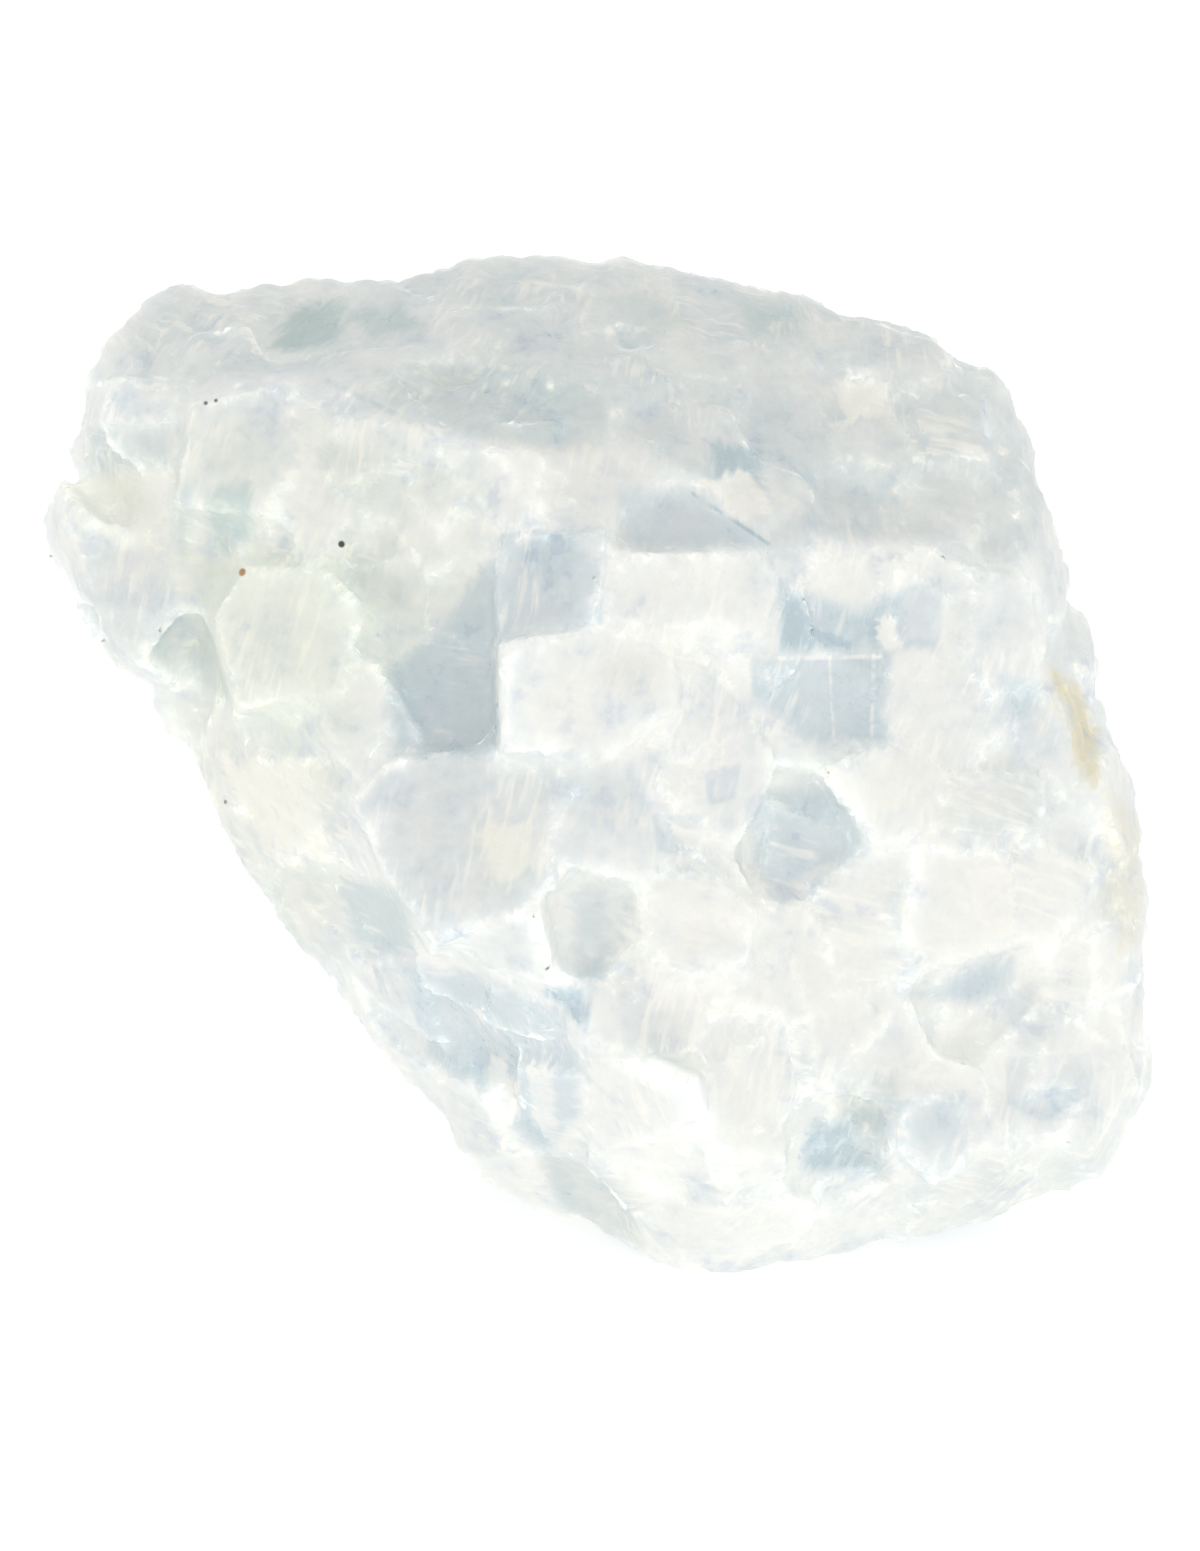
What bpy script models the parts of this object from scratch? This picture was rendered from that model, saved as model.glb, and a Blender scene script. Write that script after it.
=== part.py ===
"""A rough chunk of blue calcite: one solid, broken along the cleavage of its grains.

The chunk is a mass of interlocking calcite grains. Each grain is a cell of a Voronoi
pattern, split off along flat planes, and many have a second ledge one step lower.
It is described as it is looked at, x to the right, z up and -y towards the viewer,
and is then laid back to rest on its flat spot.
"""

import math
import random

import bmesh
import bpy
from mathutils import Matrix, Vector

# The chunk is worked out in mm and scaled to metres at the end
METRES_PER_MM = 0.001
MERGE = 0.001

# How the chunk lies
LAY_BACK_DEG = 50.0
REST_SPOT_CUT = 2.4

# Grains, in mm and degrees
GRAIN_SPACING = 6.4
BACK_GRAIN_SPACING = 8.6
GRAIN_REACH = 26.0
GRAIN_CELL = 12.0
BLOCK_CELL = 18.0
CORE_CELL = 60.0
GRAIN_ROOT = 8.5
GRAIN_TILT_DEG = 5.0
GRAIN_MOST_TILT_DEG = 10.0
GRAIN_LEAN_REACH = 4.0
GRAIN_PROUD = 0.35
GRAIN_OVERLAP = 0.2
CORE_INSET = 4.4
GRAIN_ALLOWANCE = 0.2
LEDGE_SHARE = 0.62
LEDGE_DROP = (0.4, 1.2)
LEDGE_REACH = (0.05, 0.45)
CLEAVAGE_DEG = 74.9
BLOCK_BED = -0.2
BLOCK_SPLAY = 0.10
SEED = 11

VIEWER = Vector((0.0, -1.0, 0.0))

# Broad breaks of the main lump: a point (x, z, depth) and a direction, both with
# the third number towards the viewer
MAIN_BREAKS = {
    "right face": ((12.8, -2.3, 21.0), (0.40, -0.10, 0.91)),
    "left face": ((-24.0, 12.1, 19.5), (-0.36, 0.02, 0.93)),
    "lower left face": ((-14.4, -13.5, 17.5), (-0.60, -0.42, 0.68)),
    "bench": ((20.0, 23.3, 16.0), (0.28, 0.55, 0.79)),
    "back": ((1.6, 0.9, -27.0), (0.05, 0.15, -0.99)),
    "rest side": ((1.6, -16.0, -21.0), (0.0, -0.643, -0.766)),
}

# Breaks round the rim of the main lump: a point (x, z, depth), the direction away from
# the middle in x and z, and how far the front and back breaks lean over, in degrees
RIM_BREAKS = {
    "top left corner": ((-36.4, 37.4, 1.0), (-0.60, 0.80), 38, 30),
    "top left": ((-20.8, 40.0, 1.0), (-0.122, 0.992), 33, 32),
    "top right": ((11.2, 38.6, 2.0), (0.186, 0.983), 33, 34),
    "top right corner": ((29.6, 33.6, 2.0), (0.55, 0.83), 30, 36),
    "right upper": ((34.6, 27.0, 1.0), (0.911, 0.413), 25, 40),
    "right middle": ((39.6, 8.0, 1.0), (0.973, 0.232), 20, 36),
    "right lower": ((43.7, -15.1, 1.0), (0.999, 0.02), 22, 38),
    "right foot": ((41.6, -29.4, 1.0), (0.86, -0.51), 24, 40),
    "bottom right": ((28.8, -36.3, 0.0), (0.262, -0.965), 30, 34),
    "bottom left": ((-0.7, -36.7, 0.0), (-0.47, -0.883), 30, 36),
    "lower left": ((-17.8, -21.9, 0.0), (-0.765, -0.645), 28, 30),
    "left flank": ((-32.0, -1.5, 0.0), (-0.93, -0.367), 30, 32),
    "left": ((-40.0, 32.6, -1.0), (-0.894, 0.447), 32, 36),
}

# A lump that stands out at the left end, as a point and a direction for each break
END_BREAKS = {
    "front": ((-38.0, 16.0, 10.0), (-0.30, -0.12, 0.94)),
    "upper end": ((-42.9, 24.4, 0.0), (-0.93, 0.30, 0.22)),
    "end": ((-43.9, 17.8, -1.0), (-0.96, -0.18, 0.22)),
    "lower end": ((-42.3, 12.8, -1.0), (-0.88, -0.38, 0.28)),
    "corner": ((-40.1, 9.3, -1.0), (-0.74, -0.63, 0.22)),
    "under side": ((-36.8, 6.9, -1.0), (-0.42, -0.89, 0.16)),
    "upper end back": ((-42.9, 24.4, 0.0), (-0.80, 0.28, -0.53)),
    "end back": ((-43.9, 17.8, -1.0), (-0.84, -0.16, -0.52)),
    "lower back": ((-40.1, 9.3, -1.0), (-0.60, -0.58, -0.56)),
    "inner side": ((-26.0, 16.0, 0.0), (1.0, 0.0, 0.0)),
    "top": ((-36.0, 31.0, 0.0), (0.0, 1.0, 0.0)),
}
END_MIDDLE = (-33.0, 18.0, 0.0)

# Blocks that stand proud on the side that is looked at: how far, how their tops lean in
# x and z, and their outline in x and z
BLOCKS = {
    "pale pane": (0.9, (-0.06, 0.10), [
        (-7.8, 10.4), (0.0, 11.0), (0.5, 18.4), (-4.8, 18.2), (-7.8, 16.6)]),
    "white block": (1.0, (-0.04, -0.04), [
        (-7.8, 1.2), (0.0, 0.8), (5.8, 4.6), (5.4, 9.4), (-0.6, 11.0), (-7.8, 9.9)]),
    "white step": (0.8, (0.05, 0.06), [
        (0.9, 11.0), (12.8, 10.6), (13.6, 13.8), (12.2, 16.8), (0.9, 16.9)]),
    "blue prism": (1.5, (0.14, 0.10), [
        (-18.8, -2.2), (-16.2, 0.6), (-10.4, 1.6), (-4.8, 0.1), (-3.4, -2.4),
        (-3.2, -9.0), (-8.0, -11.6), (-12.8, -13.4), (-16.4, -8.0)]),
    "white triangle": (1.9, (0.20, -0.10), [
        (-11.6, -13.2), (-4.4, -9.6), (-3.2, -16.4), (-8.0, -15.4)]),
    "white shoulder": (1.2, (0.10, 0.16), [
        (16.2, 0.0), (20.2, 1.8), (24.6, 1.9), (26.6, -0.4), (26.0, -4.6), (20.8, -6.2),
        (18.2, -2.4)]),
    "broad facet": (0.8, (0.12, -0.10), [
        (24.4, -5.4), (32.0, -6.4), (32.8, -15.4), (28.8, -15.1), (24.8, -17.0),
        (23.2, -11.8)]),
    "grey square": (0.5, (0.08, 0.02), [
        (26.6, 0.1), (34.4, -0.2), (35.0, -4.4), (31.2, -5.1), (26.8, -4.6)]),
    "small blue pane": (0.8, (0.10, -0.12), [
        (23.2, -25.4), (26.8, -25.1), (28.6, -26.0), (28.4, -31.4), (26.0, -32.4),
        (23.0, -29.4)]),
    "frosted grain": (0.9, (-0.05, 0.10), [
        (-1.2, -22.4), (4.0, -21.6), (8.0, -23.2), (8.4, -26.6), (4.0, -28.6), (0.0, -29.0)]),
    "white knuckle": (1.1, (-0.12, 0.10), [
        (3.2, -7.9), (8.0, -7.6), (12.0, -10.4), (11.2, -15.0), (6.4, -16.2), (3.2, -12.6)]),
    "green facet": (0.7, (-0.08, -0.06), [
        (-27.6, 15.6), (-21.2, 16.0), (-17.6, 12.4), (-20.0, 5.8), (-28.0, 5.0),
        (-29.8, 12.0)]),
    "cream grain": (0.7, (-0.04, 0.12), [
        (-33.0, 20.8), (-31.6, 28.4), (-24.0, 30.2), (-22.6, 24.0), (-26.0, 19.4)]),
    "white wisps": (0.6, (-0.10, -0.10), [
        (-29.8, 1.0), (-22.4, 1.6), (-20.8, -4.2), (-24.0, -7.2), (-29.0, -3.6)]),
    "ribbed grain": (0.6, (0.12, 0.0), [
        (29.0, 15.8), (33.6, 15.2), (34.2, 6.6), (30.4, 5.8), (28.4, 9.4)]),
    "roof ridge": (0.2, (0.0, 0.0), [
        (-3.6, 37.6), (1.6, 40.0), (7.2, 38.0), (6.0, 34.4), (-1.6, 34.0)]),
}

# Windows of clear stone, broken out lower than what is round them: (x, z) and how proud
LOW_GRAINS = {
    "deep window": (-11.6, 6.2, -2.4),
    "deep window tip": (-9.4, 13.2, -2.0),
    "upper window": (20.2, 12.2, -1.6),
    "ruled window": (17.0, 5.8, -1.0),
    "middle window": (15.6, -5.3, -1.8),
    "dark slot": (-0.8, -12.6, -2.6),
    "lower pane": (-9.4, -21.6, -1.2),
    "dark window": (19.4, -29.4, -2.0),
    "blue slot": (29.8, -17.0, -1.8),
    "cleft": (6.6, 19.4, -1.4),
    "hollow": (20.4, 20.4, -1.9),
    "hollow end": (28.8, 21.0, -1.7),
    "oval facet": (14.4, 26.6, -1.1),
    "roof window": (-22.8, 35.6, -1.2),
    "roof pane": (-8.6, 29.6, -1.0),
    "grey recess": (-17.6, 15.0, -1.2),
    "teal chip": (-29.0, 19.4, -0.9),
    "dark strip": (-31.2, 9.8, -1.0),
    "teal wedge": (-17.4, -11.6, -1.0),
}

# Grains placed by hand on the side that is looked at: (x, z) and how proud each stands
PLACED_GRAINS = {
    "speckled grain": (25.0, 12.6, 0.0),
    "right white grain": (37.0, -9.0, 0.3),
    "corner pane": (35.4, -24.6, 0.2),
    "frosted foot": (9.4, -31.6, 0.5),
    "white boss": (14.0, -15.4, 0.7),
    "low white grain": (12.4, -22.6, 0.0),
    "white bridge": (20.4, -21.2, 0.4),
    "grey facet": (1.2, -3.2, 0.0),
    "small facet": (8.6, -1.6, -0.3),
    "grey oval": (-17.6, 23.8, 0.4),
    "cream step": (-12.4, 19.0, 0.4),
    "white crown": (-7.0, 23.6, 0.6),
    "end block": (-38.2, 24.0, 0.4),
    "end block foot": (-38.2, 15.4, 0.6),
    "smoky grain": (-22.4, -12.0, 0.0),
    "pearl grain": (-23.4, 0.0, 0.2),
    "hollow side": (28.6, 28.4, -0.4),
    "roof corner": (-32.4, 33.0, 0.3),
    "roof middle": (-9.6, 35.8, 0.3),
    "roof right": (16.0, 33.6, 0.0),
}


def inPose(x, z, depth):
    """A point of the viewing pose."""
    return Vector((x, -depth, z))


def breakPlane(point, direction):
    """A break as (point, outward direction)."""
    right, up, near = direction
    outward = Vector((right, -near, up)).normalized()
    return inPose(*point) + outward * GRAIN_ALLOWANCE, outward


def mainPlanes():
    """Every break of the main lump."""
    planes = [breakPlane(*entry) for entry in MAIN_BREAKS.values()]
    for point, (right, up), front, back in RIM_BREAKS.values():
        for lean, side in ((front, 1.0), (back, -1.0)):
            flat = math.cos(math.radians(lean))
            near = side * math.sin(math.radians(lean))
            planes.append(breakPlane(point, (right * flat, up * flat, near)))
    return planes


def endPlanes():
    """Every break of the end lump."""
    return [breakPlane(*entry) for entry in END_BREAKS.values()]


def inside(planes, point, margin=0.0):
    """Whether a point lies inside a lump, at least a margin below its surface."""
    return all((point - on).dot(outward) < -margin for on, outward in planes)


def cutConvex(bm, point, outward):
    """Cuts away what lies beyond a plane and closes the cut with one face."""
    if max((v.co - point).dot(outward) for v in bm.verts) < 1e-4:
        return
    cut = bmesh.ops.bisect_plane(
        bm,
        geom=bm.verts[:] + bm.edges[:] + bm.faces[:],
        dist=1e-5,
        plane_co=point,
        plane_no=outward,
        clear_outer=True,
    )
    edges = [g for g in cut["geom_cut"] if isinstance(g, bmesh.types.BMEdge)]
    if edges:
        bmesh.ops.contextual_create(bm, geom=edges)


def convexSolid(name, centre, halfSide, planes):
    """A cube round a point, cut by planes, or None if nothing is left."""
    bm = bmesh.new()
    bmesh.ops.create_cube(bm, size=2.0 * halfSide, matrix=Matrix.Translation(centre))
    for point, outward in planes:
        if bm.verts:
            cutConvex(bm, point, outward)
    if len(bm.faces) < 4:
        bm.free()
        return None
    bmesh.ops.recalc_face_normals(bm, faces=bm.faces[:])
    mesh = bpy.data.meshes.new(name)
    bm.to_mesh(mesh)
    bm.free()
    return bpy.data.objects.new(name, mesh)


def surfacePoint(planes, origin, direction):
    """Where a ray from inside a lump leaves it, and the outward direction there."""
    best, leaving = math.inf, None
    for point, outward in planes:
        rate = direction.dot(outward)
        if rate > 1e-6:
            distance = (point - origin).dot(outward) / rate
            if distance < best:
                best, leaving = distance, outward
    return origin + direction * best, leaving


def middleOf(outline):
    """The mean of an outline's corners."""
    return [sum(corner[axis] for corner in outline) / len(outline) for axis in (0, 1)]


def blockForm(lump, proud, lean, outline):
    """A block with an outline as it is looked at."""
    middle, planes = lump
    x, z = middleOf(outline)
    point, outward = surfacePoint(planes, inPose(x, z, 0.0), VIEWER)
    top = (outward + Vector((lean[0], 0.0, lean[1]))).normalized()
    level = point + outward * proud
    sides = []
    for (x0, z0), (x1, z1) in zip(outline, outline[1:] + outline[:1]):
        away = Vector((z1 - z0, 0.0, x0 - x1)).normalized()
        if away.dot(inPose(x, z, 0.0) - inPose(x0, z0, 0.0)) > 0:
            away = -away
        sides.append((inPose(x0, z0, 0.0) + VIEWER * VIEWER.dot(level), away + VIEWER * BLOCK_SPLAY))
    sides += [(level, top), (point - outward * GRAIN_ROOT, -outward)]
    return level, BLOCK_CELL, [(on, out.normalized()) for on, out in sides]


def placeGrains(lumps, rng):
    """Grain centres as (point, outward direction, how proud, planes of its lump)."""
    grains = []
    placed = [(*middleOf(outline), BLOCK_BED) for _, _, outline in BLOCKS.values()]
    placed += list(LOW_GRAINS.values()) + list(PLACED_GRAINS.values())
    for x, z, proud in placed:
        start = inPose(x, z, 0.0)
        for middle, planes in lumps:
            if inside(planes, start):
                point, outward = surfacePoint(planes, start, VIEWER)
                grains.append((point, outward, proud, planes))
                break
    for lump, (middle, planes) in enumerate(lumps):
        others = [each for _, each in lumps[:lump] + lumps[lump + 1:]]
        for _ in range(5000):
            direction = Vector([rng.gauss(0, 1) for _ in range(3)]).normalized()
            point, outward = surfacePoint(planes, middle, direction)
            if any(inside(each, point, 1.0) for each in others):
                continue
            spacing = BACK_GRAIN_SPACING if VIEWER.dot(point) < 0 else GRAIN_SPACING
            if min((point - grain[0]).length for grain in grains) > spacing:
                proud = max(-0.9, min(0.7, rng.gauss(0.0, GRAIN_PROUD)))
                grains.append((point, outward, proud, planes))
    return grains


def leanOf(rng):
    """An axis and an angle: how a grain's cleavage leans from the break."""
    axis = Vector([rng.gauss(0, 1) for _ in range(3)]).normalized()
    most = GRAIN_MOST_TILT_DEG
    return axis, max(-most, min(most, rng.gauss(0, GRAIN_TILT_DEG)))


def wallsOf(index, seeds):
    """The planes half way to the grains around, a little beyond so that they overlap."""
    walls = []
    for other, place in enumerate(seeds):
        gap = place - seeds[index]
        if other != index and gap.length < GRAIN_REACH:
            away = gap.normalized()
            walls.append((seeds[index] + gap / 2 + away * GRAIN_OVERLAP, away))
    walls.sort(key=lambda wall: (wall[0] - seeds[index]).length)
    return walls


def ledgeCuts(point, outward, rng):
    """Two cleavage planes that end a ledge part of the way across its grain."""
    side = Matrix.Rotation(rng.uniform(0, math.tau), 3, outward) @ outward.orthogonal()
    cuts = []
    for around in (0.0, math.radians(105)):
        away = (Matrix.Rotation(around, 3, outward) @ side).normalized()
        lean = math.radians(CLEAVAGE_DEG)
        direction = outward * math.cos(lean) + away * math.sin(lean)
        reach = rng.uniform(*LEDGE_REACH) * GRAIN_SPACING
        cuts.append((point + away * reach, direction))
    return cuts


def grainForms(index, grains, seeds, rng):
    """The one or two convex forms of a grain: its body, and a ledge proud of it."""
    point, outward, proud, planes = grains[index]
    axis, angle = leanOf(rng)
    walls = wallsOf(index, seeds)
    walls.append((point - outward * GRAIN_ROOT, -outward))
    tops = []
    for on, out in planes:
        depth = (point - on).dot(out)
        if depth > -GRAIN_CELL:
            share = max(0.0, 1.0 + depth / GRAIN_LEAN_REACH)
            turn = Matrix.Rotation(math.radians(angle * share), 3, axis)
            tops.append((point - out * depth + out * proud, turn @ out))
    stepped = rng.random() < LEDGE_SHARE
    drop = rng.uniform(*LEDGE_DROP) if stepped else 0.0
    lower = [(on - out * drop, out) for on, out in tops]
    forms = [(point, GRAIN_CELL, walls + lower)]
    if stepped:
        cuts = ledgeCuts(point, outward, rng)
        forms.append((point, GRAIN_CELL, walls + tops + cuts))
    return forms


def coreForm(middle, planes):
    """The inner body of a lump, its breaks set in below the grains."""
    return middle, CORE_CELL, [(on - out * CORE_INSET, out) for on, out in planes]


def joinSolids(chunk, others):
    """Makes one closed surface round the first solid and all the others."""
    helpers = bpy.data.collections.new("helpers")
    helpers.hide_render = True
    bpy.context.scene.collection.children.link(helpers)
    for piece in others:
        piece.hide_render = True
        piece.display_type = "WIRE"
        helpers.objects.link(piece)
    join = chunk.modifiers.new("join grains", "BOOLEAN")
    join.operation = "UNION"
    join.operand_type = "COLLECTION"
    join.collection = helpers
    join.solver = "EXACT"
    graph = bpy.context.evaluated_depsgraph_get()
    joined = bpy.data.meshes.new_from_object(chunk.evaluated_get(graph))
    chunk.modifiers.clear()
    chunk.data = joined
    for piece in others:
        bpy.data.objects.remove(piece)
    bpy.data.collections.remove(helpers)


def fillPockets(bm):
    """Keeps the outer surface only, so that gaps closed in between grains are solid."""
    unseen = set(bm.faces)
    shells = []
    while unseen:
        shell, edge = set(), [unseen.pop()]
        while edge:
            face = edge.pop()
            shell.add(face)
            near = {other for e in face.edges for other in e.link_faces} & unseen
            unseen -= near
            edge += near
        shells.append(shell)
    shells.sort(key=len)
    for shell in shells[:-1]:
        bmesh.ops.delete(bm, geom=list(shell), context="FACES")


def tidyMesh(mesh):
    """Fills the pockets, merges points that coincide and leaves triangles only."""
    bm = bmesh.new()
    bm.from_mesh(mesh)
    fillPockets(bm)
    bmesh.ops.remove_doubles(bm, verts=bm.verts[:], dist=MERGE)
    bmesh.ops.triangulate(bm, faces=bm.faces[:])
    bmesh.ops.dissolve_degenerate(bm, dist=MERGE, edges=bm.edges[:])
    bmesh.ops.triangulate(bm, faces=bm.faces[:])
    fillPockets(bm)
    bm.to_mesh(mesh)
    bm.free()


def layBack(chunk):
    """Lays the chunk back, cuts its rest spot flat and puts the spot at z = 0."""
    mesh = chunk.data
    mesh.transform(Matrix.Rotation(-math.radians(LAY_BACK_DEG), 4, "X"))
    bm = bmesh.new()
    bm.from_mesh(mesh)
    floor = min(v.co.z for v in bm.verts) + REST_SPOT_CUT
    cutConvex(bm, Vector((0, 0, floor)), Vector((0, 0, -1)))
    xs, ys = ([v.co[axis] for v in bm.verts] for axis in (0, 1))
    middle = Vector(((min(xs) + max(xs)) / 2, (min(ys) + max(ys)) / 2, floor))
    bmesh.ops.translate(bm, verts=bm.verts[:], vec=-middle)
    bm.to_mesh(mesh)
    bm.free()
    tidyMesh(mesh)
    mesh.transform(Matrix.Scale(METRES_PER_MM, 4))


def calciteMaterial():
    """Pale blue, slightly glassy stone."""
    material = bpy.data.materials.new("blue calcite")
    material.use_nodes = True
    shader = material.node_tree.nodes["Principled BSDF"]
    shader.inputs["Base Color"].default_value = (0.72, 0.81, 0.85, 1.0)
    shader.inputs["Roughness"].default_value = 0.4
    shader.inputs["IOR"].default_value = 1.6
    return material


def build():
    for old in list(bpy.data.objects):
        bpy.data.objects.remove(old)
    rng = random.Random(SEED)
    lumps = [(Vector(), mainPlanes()), (inPose(*END_MIDDLE), endPlanes())]
    grains = placeGrains(lumps, rng)
    seeds = [grain[0] for grain in grains]
    main = lumps[0]
    forms = [coreForm(*lump) for lump in lumps]
    for index in range(len(grains)):
        forms += grainForms(index, grains, seeds, rng)
    forms += [blockForm(main, *block) for block in BLOCKS.values()]
    solids = [convexSolid(f"piece {n}", *form) for n, form in enumerate(forms)]
    chunk, *others = [solid for solid in solids if solid is not None]
    chunk.name = "calcite"
    home = bpy.data.collections.new("blue calcite chunk")
    bpy.context.scene.collection.children.link(home)
    home.objects.link(chunk)
    print("grains", len(grains), "pieces", len(others))
    joinSolids(chunk, others)
    layBack(chunk)
    chunk.data.materials.clear()
    chunk.data.materials.append(calciteMaterial())
    print("triangles", len(chunk.data.polygons))


build()
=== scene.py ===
import math
import random

import bmesh
import bpy
import numpy as np
from mathutils import Matrix, Vector, noise
from mathutils.bvhtree import BVHTree
from mathutils.kdtree import KDTree


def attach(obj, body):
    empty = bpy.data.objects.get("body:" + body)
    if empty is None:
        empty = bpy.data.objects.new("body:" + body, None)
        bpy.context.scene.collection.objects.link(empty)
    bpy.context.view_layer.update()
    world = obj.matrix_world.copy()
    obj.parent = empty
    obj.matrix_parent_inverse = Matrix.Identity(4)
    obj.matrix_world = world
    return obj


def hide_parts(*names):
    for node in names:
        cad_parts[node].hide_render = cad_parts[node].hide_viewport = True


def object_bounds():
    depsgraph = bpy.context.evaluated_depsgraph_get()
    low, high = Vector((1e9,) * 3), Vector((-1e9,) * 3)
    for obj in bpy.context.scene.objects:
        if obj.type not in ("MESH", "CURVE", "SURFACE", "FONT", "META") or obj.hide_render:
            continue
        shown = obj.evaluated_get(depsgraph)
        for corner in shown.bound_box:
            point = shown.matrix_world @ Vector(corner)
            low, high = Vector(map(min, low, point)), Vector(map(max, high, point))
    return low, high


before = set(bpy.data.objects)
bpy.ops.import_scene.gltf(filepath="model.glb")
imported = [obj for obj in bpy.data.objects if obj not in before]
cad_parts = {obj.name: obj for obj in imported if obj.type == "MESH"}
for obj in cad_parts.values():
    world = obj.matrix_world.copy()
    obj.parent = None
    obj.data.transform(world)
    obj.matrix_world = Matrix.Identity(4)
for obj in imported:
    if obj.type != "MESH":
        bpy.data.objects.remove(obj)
mm = 0.001
cadBox = [list(corner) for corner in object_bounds()]

# The picture's own axes: right, up and towards the viewer, who looks down by lookDown
view = {"lookDown": 50.0, "middle": (0.244, -0.984, 25.333)}
down = math.radians(view["lookDown"])
pictureUp = Vector((0, math.sin(down), math.cos(down)))
pictureNear = Vector((0, -math.cos(down), math.sin(down)))
pictureMiddle = Vector(view["middle"]) * mm

# Lengths are in mm, angles in degrees, and shares run from 0 to 1
stone = {
    "grain": 0.52,  # side of the small faces
    "jointFill": 0.7,  # joints up to twice this wide are filled
    "snap": 0.45,  # a face this near to a flat facet is laid on it
    "flatAngle": 2.5,  # faces that turn less than this are one facet
    "creaseAngle": 24,
    "smoothAngle": 32,
    "cleavageAngle": 75,  # between the two cleavage lines on a facet
    "fillRounds": 6,
    "fill": 0.7,  # how much each round lifts a joint
    "wear": 0.3,  # how much each round wears rough ground down
    "terrace": (0.26, 5.0, 1.7, 2.2),  # height, length, width and steps for each height
    "undulation": (0.10, 5.0, 3.0, 2),  # height, size, shift of the pattern and octaves
    "grit": (0.05, 0.9, 9.0, 3),
    "crumbly": (0.50, 2.6, 21.0, 4),
    "chips": (0.5, 1.6, 17.0, 3),
    "chipReach": 0.8,
    "highest": 0.12,  # nothing stands further out than this
    "recess": {"pane": 0.28, "blue": 0.30, "teal": 0.18},
    "roughPlaces": ("roof", "bench", "foot", "frosted foot", "end face"),
    "roughPatch": (12.0, 40.0),  # size and shift of the rough places elsewhere
    "seenSlope": -0.05,  # a face turned away more than this isn't on the seen side
    "seenDepth": -4.0,
    "onTable": 0.02,  # points lower than this are on the resting spot
    "seed": 5,
}

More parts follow.
